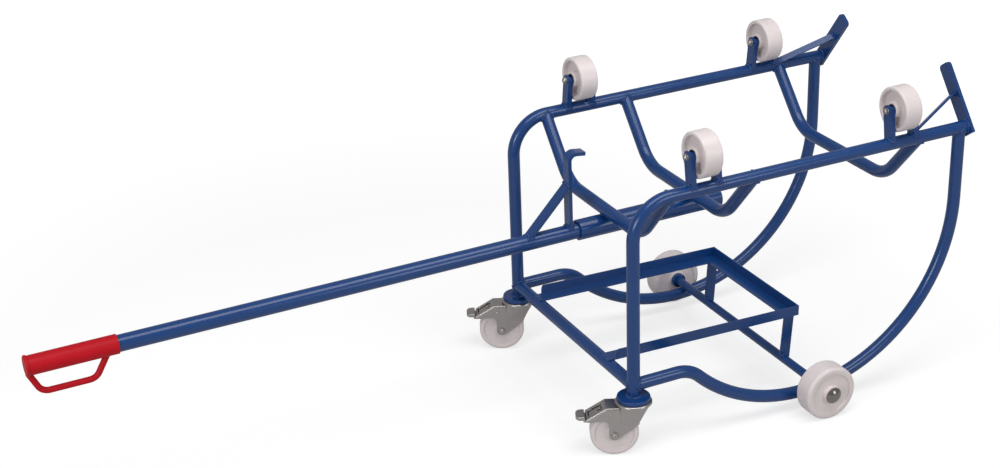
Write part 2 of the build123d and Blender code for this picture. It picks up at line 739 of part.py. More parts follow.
def brake_cover():
    """Folded cover over the brake, with a window in its slope, butted to the fork."""
    folded = xz_slab(cover_outline(COVER_DEPTH, 0), FORK_OUTSIDE)
    folded = fillet(fold_edges(folded), COVER_FOLD_R)
    folded -= xz_slab(cover_outline(2 * COVER_DEPTH, FORK_SHEET), FORK_INSIDE)
    window = Box(WINDOW_L, WINDOW_W, 4 * FORK_SHEET, align=(Align.MAX, Align.CENTER, Align.CENTER))
    folded -= cover_slope() * Pos(-WINDOW_START, 0, 0) * window
    folded -= fork_legs() + fork_bell()
    return folded - pedal_pivot() * z_disc(-FORK_OUTSIDE, FORK_OUTSIDE, PEDAL_PIN_D)


def brake_pin():
    return pedal_pivot() * z_disc(-FORK_OUTSIDE / 2, FORK_OUTSIDE / 2, PEDAL_PIN_D)


def pedal_tab():
    """Foot tab in front of the cover's open end, with rounded corners and edges."""
    end = (cover_slope() * Pos(-COVER_RUN, 0, 0)).position
    plan = Rectangle(PEDAL_TAB_L, PEDAL_TAB_W, align=(Align.MAX, Align.CENTER))
    plan = fillet(plan.vertices().group_by(Axis.X)[0], PEDAL_TAB_CORNER_R)
    tab = extrude(plan, amount=-PEDAL_TAB_T)
    tab = fillet(tab.edges().group_by(Axis.Z)[-1], PEDAL_TAB_EDGE_R)
    neck = Box(PEDAL_NECK_L, PEDAL_NECK_W, PEDAL_NECK_H, align=(Align.MAX, Align.CENTER, Align.MAX))
    tab += Pos(PEDAL_PLAY - PLATE_PLAY / 2, 0, PLATE_PLAY - PEDAL_TAB_T) * neck
    return Pos(end.X - PEDAL_PLAY, 0, end.Z + PEDAL_TAB_RISE) * tab


def brake_pedal():
    """Pedal plate under the cover's slope, with its foot tab, pivot eye and brake shoe."""
    slope = cover_slope()
    top = -FORK_SHEET - PLATE_PLAY
    width = FORK_INSIDE - 2 * PLATE_PLAY
    plate = Box(COVER_RUN, width, PEDAL_T, align=(Align.MAX, Align.CENTER, Align.MAX))
    plate = Pos(-PEDAL_PIVOT_IN, 0, top) * plate
    wheel_at = (slope.inverse() * wheel_centre()).position
    shoe_bottom = wheel_at.Z + CASTER_WHEEL_D / 2 + SHOE_GAP
    shoe = Box(SHOE_L, SHOE_W, top - shoe_bottom, align=(Align.CENTER, Align.CENTER, Align.MIN))
    pivot = Pos(-PEDAL_PIVOT_IN, 0, -PEDAL_PIVOT_DOWN)
    eye = pivot * y_pin(-width / 2, width / 2, 2 * PEDAL_EYE_R)
    bore = pivot * y_pin(-width, width, PEDAL_PIN_D + 2 * RUNNING)
    pedal = plate + Pos(wheel_at.X, 0, shoe_bottom) * shoe + eye - bore
    return slope * pedal + pedal_tab()


def wheel_bush():
    """Steel tube between the fork's legs that the wheel turns on."""
    half = FORK_INSIDE / 2
    return wheel_centre() * (z_disc(-half, half, BUSH_D) - z_disc(-half, half, M8_D))


def caster_bolt():
    """Wheel bolt with its nut."""
    half = FORK_OUTSIDE / 2
    shank = z_disc(-half - M8_NUT_T - M8_THREAD_PROUD, half, M8_D)
    bolt = shank + Pos(0, 0, half) * hexagon(M8_ACROSS_FLATS, M8_HEAD_T)
    nut = Pos(0, 0, -half - M8_NUT_T) * m8_nut()
    return [wheel_centre() * piece for piece in (bolt, nut)]


def caster_wheel():
    bore = BUSH_D + 2 * RUNNING
    tread = (CASTER_WHEEL_D, CASTER_WHEEL_W, CASTER_EDGE_R)
    hub = (CASTER_HUB_D, CASTER_HUB_L)
    return wheel_centre() * wheel(tread, (CASTER_RIM, CASTER_RECESS), hub, bore)


# Assembly

def frame_nodes():
    nodes = {"lever_socket": lever_socket(), "rear_axle": axle_rod()}
    nodes["front_cross_tube"] = front_cross_tube()
    for name, x in SADDLE_XS.items():
        nodes[f"{name}_saddle"] = saddle(x)
    for name, side in SIDES.items():
        nodes[f"{name}_rail"] = rail(name)
        nodes[f"{name}_rocker"] = rocker(name)
        nodes[f"{name}_toe_plate"] = toe_plate(side)
        nodes[f"{name}_toe_brace"] = toe_brace(name)
        nodes[f"{name}_shelf_angle"] = shelf_side(side)
        nodes[f"{name}_caster_flange"] = caster_place(side) * caster_flange()
        nodes[f"{name}_caster_head"] = caster_place(side) * caster_head()
    nodes["back_shelf_angle"] = shelf_back()
    nodes["shelf_posts"] = group(shelf_post(side) for side in SIDES.values())
    nodes["kingpins"] = group(caster_place(side) * kingpin() for side in SIDES.values())
    nodes["axle_collars"] = group(rear_wheel_place(side) * axle_collar() for side in SIDES.values())
    nodes["wheel_caps"] = group(rear_wheel_place(side) * wheel_cap() for side in SIDES.values())
    return nodes


def roller_nodes():
    nodes = {}
    bolts, nuts, spacers = [], [], []
    for end, x in ROLLER_XS.items():
        for name, side in SIDES.items():
            place = roller_axis(side, x)
            nodes[f"{end}_{name}_uprights"] = uprights(name, x)
            nodes[f"{end}_{name}_roller"] = place * drum_roller()
            bolts.append(place * roller_bolt())
            nuts.append(place * Pos(0, 0, STAND_LENGTH / 2) * m8_nut())
            spacers += [place * ring for ring in roller_spacers()]
    nodes["roller_bolts"] = group(bolts)
    nodes["roller_nuts"] = group(nuts)
    nodes["roller_spacers"] = group(spacers)
    return nodes


def lever_nodes():
    pieces = {"lever_tube": lever_tube(), "drum_hook": drum_hook()}
    pieces.update({"hook_brace": hook_brace(), "grip": grip()})
    return {name: lever_place() * piece for name, piece in pieces.items()}


def wheel_nodes():
    nodes = {}
    for name, side in SIDES.items():
        place = caster_place(side)
        nodes[f"{name}_rear_wheel"] = rear_wheel_place(side) * rear_wheel()
        nodes[f"{name}_swivel_bearing"] = place * swivel_bearing()
        nodes[f"{name}_caster_fork"] = place * caster_fork()
        nodes[f"{name}_brake_cover"] = place * brake_cover()
        nodes[f"{name}_brake_pin"] = place * brake_pin()
        nodes[f"{name}_brake_pedal"] = place * brake_pedal()
        nodes[f"{name}_wheel_bush"] = place * wheel_bush()
        nodes[f"{name}_caster_bolt"] = group(place * piece for piece in caster_bolt())
        nodes[f"{name}_caster_wheel"] = place * caster_wheel()
    return nodes


def standing(nodes):
    """Move that tips the trolley on its wheels, with the origin on the floor under its middle."""
    tip = Rot(Y=-TILT)
    box = Compound([tip * shape for shape in nodes.values()]).bounding_box()
    return Pos(-box.center().X, -box.center().Y, -box.min.Z) * tip


NODES = {**frame_nodes(), **roller_nodes(), **lever_nodes(), **wheel_nodes()}
STAND = standing(NODES)

os.makedirs("parts", exist_ok=True)
for node, shape in NODES.items():
    export_step(STAND * shape, f"parts/{node}.step")
print(f"{len(NODES)} nodes, tilt {TILT:.2f} degrees, socket {SOCKET_D:.1f} mm")
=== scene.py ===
# %% [markdown]
# # A drum trolley of blue tube
# A workshop trolley carries one oil drum on its side. Its frame is bent steel tube under blue
# powder coat, its wheels and rollers are ivory polyamide, and its casters are zinc-plated.
# The shapes of all the pieces come from the CAD model, which is loaded first and never moved.
# This lesson gives them their finishes, adds welds and small fittings, and lights the set.

# %% Load the trolley
import json
from math import cos, pi, radians, sin, sqrt

import bmesh
import bpy
from mathutils import Matrix, Vector


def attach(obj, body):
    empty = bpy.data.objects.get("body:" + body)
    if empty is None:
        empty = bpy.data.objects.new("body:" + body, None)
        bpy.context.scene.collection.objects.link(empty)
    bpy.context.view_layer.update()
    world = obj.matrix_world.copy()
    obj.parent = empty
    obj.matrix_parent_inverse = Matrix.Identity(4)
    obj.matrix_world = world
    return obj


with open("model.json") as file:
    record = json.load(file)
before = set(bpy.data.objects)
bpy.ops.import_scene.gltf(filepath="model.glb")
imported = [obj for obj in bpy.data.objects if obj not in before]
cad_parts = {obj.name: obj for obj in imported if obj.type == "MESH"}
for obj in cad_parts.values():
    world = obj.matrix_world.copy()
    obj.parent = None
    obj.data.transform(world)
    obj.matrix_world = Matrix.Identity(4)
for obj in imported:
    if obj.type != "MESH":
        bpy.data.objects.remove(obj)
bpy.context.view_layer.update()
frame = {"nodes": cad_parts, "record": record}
nodes = frame["nodes"]

# %% [markdown]
# ## The trolley's own axes
# The rear wheels hold the trolley up more than the casters do, so its rails rise by 1.7 degrees.
# Welds are easier to place along level rails. One matrix therefore turns points from the trolley's
# own axes, with X along the rails and X = 0 at the front legs, into the scene. All is in metres.

# %% Trolley axes
TIP = radians(1.66712)
FRONT_LEGS = (0.188114, 0, 0.00126751)
trolley = Matrix.Translation(FRONT_LEGS) @ Matrix.Rotation(-TIP, 4, "Y")
SIDES = {"right": -1, "left": 1}
print("the trolley's front legs stand at", trolley @ Vector((0, 0, 0)))

# %% [markdown]
# ## Colours and nodes
# Paint charts and photos give colours as sRGB hex values, while Blender calculates in linear light.
# One function changes the one into the other. A second one adds a shader or geometry node, sets its
# properties, and fills or links its inputs, so that each material below reads like a recipe. Hardly any
# finish has one flat colour, so a third function moves between two hex colours.

# %% Colour and node helpers
def linear(hex_colour):
    """Linear RGBA of a hex colour such as 0F3A75."""
    channels = [int(hex_colour[i:i + 2], 16) / 255 for i in (0, 2, 4)]
    return (*[c / 12.92 if c <= 0.04045 else ((c + 0.055) / 1.055) ** 2.4 for c in channels], 1)


def add_node(tree, kind, inputs=None, **settings):
    """New node with its settings; an input takes a value or another node's output."""
    node = tree.nodes.new(kind)
    for name, value in settings.items():
        setattr(node, name, value)
    for key, value in (inputs or {}).items():
        if isinstance(value, bpy.types.NodeSocket):
            tree.links.new(value, node.inputs[key])
        else:
            node.inputs[key].default_value = value
    return node


def new_material(name):
    """Empty node material with its Principled shader and Object coordinates."""
    material = bpy.data.materials.new(name)
    material.use_nodes = True
    tree = material.node_tree
    tree.nodes.clear()
    shader = add_node(tree, "ShaderNodeBsdfPrincipled")
    add_node(tree, "ShaderNodeOutputMaterial", {"Surface": shader.outputs["BSDF"]})
    place = add_node(tree, "ShaderNodeTexCoord").outputs["Object"]
    return material, tree, shader, place


def two_tones(tree, factor, dark, light):
    """Colour output that moves from one hex colour to another."""
    mix = add_node(tree, "ShaderNodeMix", {"Factor": factor}, data_type="RGBA")
    mix.inputs["A"].default_value = linear(dark)
    mix.inputs["B"].default_value = linear(light)
    return mix.outputs["Result"]


def per_mm(size):
    """Texture scale whose features are about this many millimetres across."""
    return 1000 / size


print("powder coat blue in linear light:", [round(c, 3) for c in linear("0F3A75")])

# %% [markdown]
# ## Blue powder coat
# Powder coat is sprayed on as dust and melted in an oven. It flows into a thick, glossy skin with a
# fine ripple, called orange peel. A noise of about 3 mm drives the bump, a little coarser than
# life so that it shows at this size, and a broad, faint noise keeps the blue from looking flat.

# %% Powder coat
def powder_coat():
    material, tree, shader, place = new_material("blue_powder_coat")
    broad = add_node(tree, "ShaderNodeTexNoise", {"Vector": place, "Scale": per_mm(140), "Detail": 3.0})
    blue = two_tones(tree, broad.outputs["Fac"], "0F3A75", "14427F")
    peel = add_node(tree, "ShaderNodeTexNoise", {"Vector": place, "Scale": per_mm(3), "Detail": 1.0})
    dust = add_node(tree, "ShaderNodeTexNoise", {"Vector": place, "Scale": per_mm(18), "Detail": 2.0})
    rough = add_node(tree, "ShaderNodeMapRange",
                     {"Value": dust.outputs["Fac"], "To Min": 0.17, "To Max": 0.25})
    bump = add_node(tree, "ShaderNodeBump",
                    {"Height": peel.outputs["Fac"], "Strength": 0.15, "Distance": 0.0003})
    tree.links.new(blue, shader.inputs["Base Color"])
    tree.links.new(rough.outputs["Result"], shader.inputs["Roughness"])
    tree.links.new(bump.outputs["Normal"], shader.inputs["Normal"])
    shader.inputs["IOR"].default_value = 1.52
    return material


blue_coat = powder_coat()
print("made", blue_coat.name)

# %% [markdown]
# ## Ivory polyamide
# Cast polyamide wheels are ivory, a little translucent, and satin from the mould. A soft noise a few
# centimetres wide shifts the tone as uneven cooling does. A trace of subsurface scattering takes the
# hardness out of the shadows on the wheels' faces.

# %% Polyamide
def polyamide():
    material, tree, shader, place = new_material("ivory_polyamide")
    tone = add_node(tree, "ShaderNodeTexNoise", {"Vector": place, "Scale": per_mm(30), "Detail": 4.0})
    ivory = two_tones(tree, tone.outputs["Fac"], "E3D8D8", "ECE2E2")
    grain = add_node(tree, "ShaderNodeTexNoise", {"Vector": place, "Scale": per_mm(1.5), "Detail": 2.0})
    edge = add_node(tree, "ShaderNodeBevel", {"Radius": 0.001}, samples=4)
    bump = add_node(tree, "ShaderNodeBump",
                    {"Height": grain.outputs["Fac"], "Normal": edge.outputs["Normal"],
                     "Strength": 0.08, "Distance": 0.0003})
    tree.links.new(ivory, shader.inputs["Base Color"])
    tree.links.new(bump.outputs["Normal"], shader.inputs["Normal"])
    shader.inputs["Roughness"].default_value = 0.36
    shader.inputs["IOR"].default_value = 1.53
    shader.inputs["Subsurface Weight"].default_value = 0.08
    shader.inputs["Subsurface Radius"].default_value = (0.004, 0.003, 0.0025)
    shader.inputs["Subsurface Scale"].default_value = 1.0
    return material


ivory_wheel = polyamide()
print("made", ivory_wheel.name)

# %% [markdown]
# ## Zinc-plated steel
# The casters are pressed from sheet and then plated. Bright zinc keeps a faint cloudiness from the
# bath, with patches of a few millimetres, which shows as uneven gloss more than as colour.
# The domed caps of the rear wheels are the same metal, polished, with a darker colour that is painted
# shade: it stands in for dark surroundings mirrored in the domes.

# %% Zinc and polished caps
def plated(name, dark, light, roughness):
    """Plated steel with cloudy gloss between two roughness values."""
    material, tree, shader, place = new_material(name)
    cloud = add_node(tree, "ShaderNodeTexNoise", {"Vector": place, "Scale": per_mm(9), "Detail": 3.0})
    tint = two_tones(tree, cloud.outputs["Fac"], dark, light)
    gloss = add_node(tree, "ShaderNodeMapRange",
                     {"Value": cloud.outputs["Fac"], "From Min": 0.3, "From Max": 0.7,
                      "To Min": roughness[0], "To Max": roughness[1]})
    edge = add_node(tree, "ShaderNodeBevel", {"Radius": 0.0008}, samples=4)
    tree.links.new(tint, shader.inputs["Base Color"])
    tree.links.new(gloss.outputs["Result"], shader.inputs["Roughness"])
    tree.links.new(edge.outputs["Normal"], shader.inputs["Normal"])
    shader.inputs["Metallic"].default_value = 1.0
    return material


zinc_plate = plated("zinc_plated_steel", "B0ABA9", "B9B4B2", (0.27, 0.32))
# The caps' darker colour is painted shade for the dark surroundings that they mirror.
cap_zinc_painted_dark = plated("polished_zinc_cap_painted_dark", "85807C", "948E8A", (0.13, 0.19))
print("made", zinc_plate.name, "and", cap_zinc_painted_dark.name)

# %% [markdown]
# ## Red and black plastic
# The grip is a soft PVC moulding, pushed over the lever's end while warm: bright red, satin, with a
# fine leathery grain. The washers beside the rollers' hubs are black polyamide.

# %% Plastics
def moulded(name, dark, light, roughness, grain_mm):
    """Moulded plastic with a faint change of tone and a fine grain."""
    material, tree, shader, place = new_material(name)
    tone = add_node(tree, "ShaderNodeTexNoise", {"Vector": place, "Scale": per_mm(45), "Detail": 2.0})
    colour = two_tones(tree, tone.outputs["Fac"], dark, light)
    grain = add_node(tree, "ShaderNodeTexVoronoi", {"Vector": place, "Scale": per_mm(grain_mm)})
    edge = add_node(tree, "ShaderNodeBevel", {"Radius": 0.001}, samples=4)
    bump = add_node(tree, "ShaderNodeBump",
                    {"Height": grain.outputs["Distance"], "Normal": edge.outputs["Normal"],
                     "Strength": 0.12, "Distance": 0.0003})
    tree.links.new(colour, shader.inputs["Base Color"])
    tree.links.new(bump.outputs["Normal"], shader.inputs["Normal"])
    shader.inputs["Roughness"].default_value = roughness
    shader.inputs["IOR"].default_value = 1.53
    shader.inputs["Specular IOR Level"].default_value = 0.2
    return material


red_grip = moulded("red_pvc_grip", "B80516", "C40C20", 0.5, 1.2)
black_washer = moulded("black_polyamide_washer", "141415", "1C1C1D", 0.5, 1.0)
print("made", red_grip.name, "and", black_washer.name)

# %% [markdown]
# ## Dressing the CAD pieces
# Each CAD piece already knows its material slot from the record. A small table turns slots into the
# finishes above, and every slot of the piece's object takes the new material.

# %% Dress the CAD pieces
FINISHES = {"powder_coat": blue_coat, "polyamide": ivory_wheel, "zinc": zinc_plate,
            "cap_steel": cap_zinc_painted_dark, "black_plastic": black_washer, "red_plastic": red_grip}
for subpart in frame["record"]["subparts"]:
    piece = nodes[subpart["node"]]
    piece.data.materials.clear()
    piece.data.materials.append(FINISHES[subpart["material_slot"]])
print("dressed", len(nodes), "pieces")

# %% [markdown]
# ## Weld paths
# The frame is welded where one bar meets another. A weld's path is found by geometry: rays run along
# the outline of the bar that ends, and stop where they meet the round tube that carries it.
# The same function serves round tubes and flat bars, because only the outline differs.

# %% Weld path helpers
TUBE_R = 0.014
RAIL_Y = 0.273
RAIL_Z = 0.5775
LOWER_Z = 0.1605


def round_outline(radius, count=40):
    return [(radius * cos(2 * pi * i / count), radius * sin(2 * pi * i / count)) for i in range(count)]


def flat_outline(width, thickness, count=8):
    """Points round a rectangle, in order."""
    w, t = width / 2, thickness / 2
    corners = [(-w, -t), (w, -t), (w, t), (-w, t), (-w, -t)]
    return [(a[0] + (b[0] - a[0]) * i / count, a[1] + (b[1] - a[1]) * i / count)
            for a, b in zip(corners, corners[1:]) for i in range(count)]


def outline_rays(outline, centre, heading, across):
    """Starting points of the rays, and their common direction."""
    heading = Vector(heading).normalized()
    across = Vector(across)
    up = heading.cross(across)
    return [Vector(centre) + across * u + up * v for u, v in outline], heading


def weld_on_tube(outline, centre, heading, across, axis_point, axis, radius):
    """Closed path where a bar with this outline runs into a round tube."""
    rays, heading = outline_rays(outline, centre, heading, across)
    axis = Vector(axis)
    flat_heading = heading - axis * heading.dot(axis)
    path = []
    for start in rays:
        gap = start - Vector(axis_point)
        gap -= axis * gap.dot(axis)
        b = gap.dot(flat_heading)
        a = flat_heading.length_squared
        root = max(b * b - a * (gap.length_squared - radius ** 2), 0)
        path.append(start + heading * (-b - sqrt(root)) / a)
    return path


def weld_on_plate(outline, centre, heading, across, face_point, normal):
    """Closed path where a bar with this outline runs into a flat face."""
    rays, heading = outline_rays(outline, centre, heading, across)
    normal = Vector(normal)
    return [p + heading * (Vector(face_point) - p).dot(normal) / heading.dot(normal) for p in rays]


print("a tube's weld has", len(round_outline(TUBE_R)), "points")

# %% [markdown]
# ## Where the frame is welded
# Saddle tubes, rockers, the low cross tube and the roller uprights all end on round tube. The rails end
# on flat toe plates and the legs on flat caster discs. A ray starts well away from the face that it looks
# for, and where it starts on its line makes no difference.

# %% Frame welds
SADDLE_XS = (0.084, 0.2925, 0.7155)
SADDLE_Z = 0.4455
SADDLE_HALF = 0.16
ROCKER_X = 0.824
RAIL_END = 0.84
FLANGE_TOP = 0.1355
ROLLER_XS = (0.1695, 0.6685)
UPRIGHT = (0.012, 0.025)
UPRIGHT_OFFSET = 0.0306
UPRIGHT_LEAN = radians(7.7)
TOE_LEAN = radians(36.6)
STRIP = (0.015, 0.005)
STRIP_TOP = (0.844, 0.08)
STRIP_FOOT = (0.7071, 0.0125)
AWAY = 0.2
X, Y, Z = (1, 0, 0), (0, 1, 0), (0, 0, 1)


def leaning(side, angle):
    """Upward direction that leans in over the drum."""
    return Vector((0, -side * sin(angle), cos(angle)))


def side_welds(side):
    """Welds of one side frame, in the trolley's axes."""
    ring = round_outline(TUBE_R)
    rail = ((0, side * RAIL_Y, RAIL_Z), X, TUBE_R)
    leg = ((0, side * RAIL_Y, 0), Z, TUBE_R)
    rise = (0, side * (RAIL_Y - SADDLE_HALF), RAIL_Z - SADDLE_Z)
    paths = [weld_on_tube(ring, (x, side * SADDLE_HALF, SADDLE_Z), rise, X, *rail) for x in SADDLE_XS]
    paths.append(weld_on_tube(ring, (ROCKER_X, side * RAIL_Y, RAIL_Z - AWAY), Z, X, *rail))
    paths.append(weld_on_tube(ring, (AWAY, side * RAIL_Y, LOWER_Z), (-1, 0, 0), Y, *leg))
    paths.append(weld_on_tube(ring, (0, 0, LOWER_Z), (0, side, 0), X, *leg))
    up = leaning(side, UPRIGHT_LEAN)
    for x in ROLLER_XS:
        for place in (-UPRIGHT_OFFSET, UPRIGHT_OFFSET):
            top = Vector((x + place, side * RAIL_Y, RAIL_Z)) + up * AWAY
            paths.append(weld_on_tube(flat_outline(*UPRIGHT), top, -up, X, *rail))
    paths.append(weld_on_plate(ring, (RAIL_END - AWAY, side * RAIL_Y, RAIL_Z), X, Y, (RAIL_END, 0, 0), X))
    above = (0, side * RAIL_Y, FLANGE_TOP + AWAY)
    paths.append(weld_on_plate(ring, above, (0, 0, -1), X, (0, 0, FLANGE_TOP), Z))
    return paths


def toe_strip(side):
    """Top, foot and width direction of the strip that braces a toe plate."""
    up = leaning(side, TOE_LEAN)
    rail = Vector((0, side * RAIL_Y, RAIL_Z))
    top, foot = [rail + Vector((x, 0, 0)) + up * rise for x, rise in (STRIP_TOP, STRIP_FOOT)]
    return top, foot, Vector(X).cross(up)


def toe_strip_top(side):
    """Upper end of the strip, on the toe plate."""
    top, foot, across = toe_strip(side)
    return weld_on_plate(flat_outline(*STRIP), foot, top - foot, across, (RAIL_END, 0, 0), X)


def toe_strip_foot(side):
    """Lower end of that strip, where it runs out along the rail."""
    top, foot, across = toe_strip(side)
    rail = ((0, side * RAIL_Y, RAIL_Z), X, TUBE_R)
    return weld_on_tube(flat_outline(*STRIP), top, foot - top, across, *rail)


side_paths = [path for side in SIDES.values()
              for path in side_welds(side) + [toe_strip_top(side), toe_strip_foot(side)]]
print(len(side_paths), "welds on the side frames")

# %% [markdown]
# ## Welds of the seats and the shelf
# Where one round bar lies across another, a small ring of weld runs round the spot where they touch. The
# shelf lies level while the frame is tipped, so its welds are worked out in the scene's axes.

# %% Seat and shelf welds
SOCKET_R = 0.023
SOCKET_SEAT = 0.0065
AXLE_X = 0.457
AXLE_Z = 0.0481
AXLE_R = 0.010
AXLE_SEAT = 0.006
AXLE_SEAT_Z = 0.0389
POST = (0.025, 0.005)
POST_ON_AXLE = (0.0190, 0.005)
POST_Y = 0.1615
POST_FOOT_X = 0.0003
POST_TOP_X = 0.009
POST_HEEL = (0.0112, -0.0006)
LEDGE_SEAT = 0.0005
LEDGE_BEAD_Z = -0.0008
LEDGE_XS = (-0.0044, 0.0043)
LEDGE_YS = (0.147, 0.179)
axle = trolley @ Vector((AXLE_X, 0, AXLE_Z))
ledge = trolley @ Vector((0, 0, LOWER_Z)) + Vector((0, 0, TUBE_R - LEDGE_SEAT))


def crossing_weld(centre, x_bar_r, y_bar_r, half):
    """Closed path round the seat of a bar along Y on a bar along X, the upper one given last."""
    path = []
    for u, v in round_outline(half):
        lower, upper = -v * v / (2 * x_bar_r), u * u / (2 * y_bar_r)
        path.append(Vector(centre) + Vector((u, v, (lower + upper) / 2)))
    return path


def seat_welds():
    """Saddles on the lever socket, and the axle on the rockers."""
    sockets = [(x, 0, SADDLE_Z - TUBE_R) for x in SADDLE_XS[:2]]
    rockers = [(AXLE_X, side * RAIL_Y, AXLE_SEAT_Z) for side in SIDES.values()]
    paths = [crossing_weld(seat, SOCKET_R, TUBE_R, SOCKET_SEAT) for seat in sockets]
    return paths + [crossing_weld(seat, TUBE_R, AXLE_R, AXLE_SEAT) for seat in rockers]


def shelf_welds():
    """Posts on the axle and under the ledges, and the ledges on the front tube."""
    closed, loose = [], []
    for side in SIDES.values():
        foot = axle + Vector((POST_FOOT_X, side * POST_Y, AWAY))
        top = axle + Vector((POST_TOP_X, side * POST_Y, 0))
        closed.append(weld_on_tube(flat_outline(*POST_ON_AXLE), foot, (0, 0, -1), X, axle, Y, AXLE_R))
        closed.append(weld_on_plate(flat_outline(*POST), top, Z, X, ledge, Z))
        loose += [[ledge + Vector((x, side * y, LEDGE_BEAD_Z)) for y in LEDGE_YS] for x in LEDGE_XS]
        heel = axle + Vector((POST_HEEL[0], side * POST_Y, POST_HEEL[1]))
        loose.append([heel + Vector((0, y, 0)) for y in (-POST[1] / 2, POST[1] / 2)])
    return closed, loose


shelf_closed, open_paths = shelf_welds()
closed_paths = [[trolley @ p for p in path] for path in side_paths + seat_welds()] + shelf_closed
print(len(closed_paths), "closed and", len(open_paths), "open welds on the frame")

# %% [markdown]
# ## Welds of the hook
# The drum hook and its brace stand on the lever, which droops a little in its socket, so its welds
# are worked out in the lever's own axes. They move with the lever and make a piece of their own.

# %% Lever welds
LEVER_R = 0.0175
LEVER_Z = 0.409
DROOP = radians(0.27)
INSERT_MIDDLE = Vector((0.191, 0, 0))
HOOK_BAR = (0.025, 0.008)
HOOK_X = -0.004
HOOK_FACE = (-0.008, 0, 0)
BRACE_RISE = 0.115
BRACE_RUN = 0.094
lever = (trolley @ Matrix.Translation(INSERT_MIDDLE + Vector((0, 0, LEVER_Z)))
         @ Matrix.Rotation(-DROOP, 4, "Y") @ Matrix.Translation(-INSERT_MIDDLE))
bar = flat_outline(*HOOK_BAR)
brace_top = (HOOK_X, 0, BRACE_RISE)
brace_heading = Vector((-BRACE_RUN, 0, LEVER_R - BRACE_RISE))
on_lever = ((0, 0, 0), X, LEVER_R)
lever_paths = [
    weld_on_tube(bar, (HOOK_X, 0, AWAY), (0, 0, -1), Y, *on_lever),
    weld_on_tube(bar, brace_top, brace_heading, Y, *on_lever),
    weld_on_plate(bar, brace_top, -brace_heading, Y, HOOK_FACE, X),
]
lever_paths = [[lever @ p for p in path] for path in lever_paths]
print(len(lever_paths), "welds on the lever")

# %% [markdown]
# ## A weld bead in Geometry Nodes
# A weld is a row of frozen ripples, softened by the paint over it. The tree takes edges as its path,
# turns them into curves, cuts them into short even steps, and sweeps a small circle along them. A sine of
# the length swells the circle at each ripple, and a seeded noise makes the ripples uneven.

# %% Weld bead tree
BEAD_STEP = 0.0006
BEAD_LEVEL = 0.55


def bead_tree():
    tree = bpy.data.node_groups.new("weld_bead", "GeometryNodeTree")
    face = tree.interface
    face.new_socket("Geometry", in_out="INPUT", socket_type="NodeSocketGeometry")
    sizes = {"Bead radius": 0.0028, "Ripple pitch": 0.0038, "Ripple depth": 0.2, "Seed": 3.0}
    for name, value in sizes.items():
        face.new_socket(name, in_out="INPUT", socket_type="NodeSocketFloat").default_value = value
    face.new_socket("Material", in_out="INPUT", socket_type="NodeSocketMaterial")
    face.new_socket("Geometry", in_out="OUTPUT", socket_type="NodeSocketGeometry")
    given = add_node(tree, "NodeGroupInput").outputs
    curve = add_node(tree, "GeometryNodeMeshToCurve", {"Mesh": given["Geometry"]})
    steps = add_node(tree, "GeometryNodeResampleCurve",
                     {"Curve": curve.outputs["Curve"], "Length": BEAD_STEP}, mode="LENGTH")
    along = add_node(tree, "GeometryNodeSplineParameter")
    turns = add_node(tree, "ShaderNodeMath", {0: along.outputs["Length"], 1: given["Ripple pitch"]},
                     operation="DIVIDE")
    angle = add_node(tree, "ShaderNodeMath", {0: turns.outputs[0], 1: 2 * pi}, operation="MULTIPLY")
    wave = add_node(tree, "ShaderNodeMath", {0: angle.outputs[0]}, operation="SINE")
    uneven = add_node(tree, "ShaderNodeTexNoise", {"W": given["Seed"], "Scale": per_mm(7), "Detail": 1.0},
                      noise_dimensions="4D")
    tree.links.new(add_node(tree, "GeometryNodeInputPosition").outputs[0], uneven.inputs["Vector"])
    swell = add_node(tree, "ShaderNodeMath", {0: wave.outputs[0], 1: given["Ripple depth"], 2: BEAD_LEVEL},
                     operation="MULTIPLY_ADD")
    height = add_node(tree, "ShaderNodeMath", {0: swell.outputs[0], 1: uneven.outputs["Fac"]},
                      operation="ADD")
    radius = add_node(tree, "ShaderNodeMath", {0: height.outputs[0], 1: given["Bead radius"]},
                      operation="MULTIPLY")
    circle = add_node(tree, "GeometryNodeCurvePrimitiveCircle", {"Resolution": 8, "Radius": 1.0})
    bead = add_node(tree, "GeometryNodeCurveToMesh", {"Curve": steps.outputs["Curve"],
                                                      "Profile Curve": circle.outputs["Curve"],
                                                      "Scale": radius.outputs[0], "Fill Caps": True})
    smooth = add_node(tree, "GeometryNodeSetShadeSmooth", {"Geometry": bead.outputs["Mesh"]})
    real = add_node(tree, "GeometryNodeRealizeInstances", {"Geometry": smooth.outputs["Geometry"]})
    paint = add_node(tree, "GeometryNodeSetMaterial", {"Geometry": real.outputs["Geometry"],
                                                       "Material": given["Material"]})
    add_node(tree, "NodeGroupOutput", {"Geometry": paint.outputs["Geometry"]})
    return tree


weld_bead = bead_tree()
print("the weld tree has", len(weld_bead.nodes), "nodes")

# %% [markdown]
# ## Laying the welds
# The paths become a mesh of loose edges. The tree's inputs are set by their identifiers before the
# object is first evaluated. The result is then copied to a plain mesh.

# %% Weld meshes
def edge_mesh(name, closed, open_ended=()):
    """Mesh of edges along closed and open paths."""
    points, edges = [], []
    for paths, is_closed in ((closed, True), (open_ended, False)):
        for path in paths:
            first = len(points)
            points += path
            edges += [(first + i, first + i + 1) for i in range(len(path) - 1)]
            if is_closed:
                edges.append((first + len(path) - 1, first))
    mesh = bpy.data.meshes.new(name)
    mesh.from_pydata(points, edges, [])
    return mesh


def grown(name, mesh, tree, **values):
    """Plain mesh object that a geometry tree makes of a mesh."""
    source = bpy.data.objects.new(name + "_source", mesh)
    bpy.context.scene.collection.objects.link(source)
    modifier = source.modifiers.new("grow", "NODES")
    modifier.node_group = tree
    for item in tree.interface.items_tree:
        if item.in_out == "INPUT" and item.name in values:
            modifier[item.identifier] = values[item.name]
    ready = source.evaluated_get(bpy.context.evaluated_depsgraph_get())
    piece = bpy.data.objects.new(name, bpy.data.meshes.new_from_object(ready))
    bpy.context.scene.collection.objects.link(piece)
    bpy.data.objects.remove(source)
    return piece


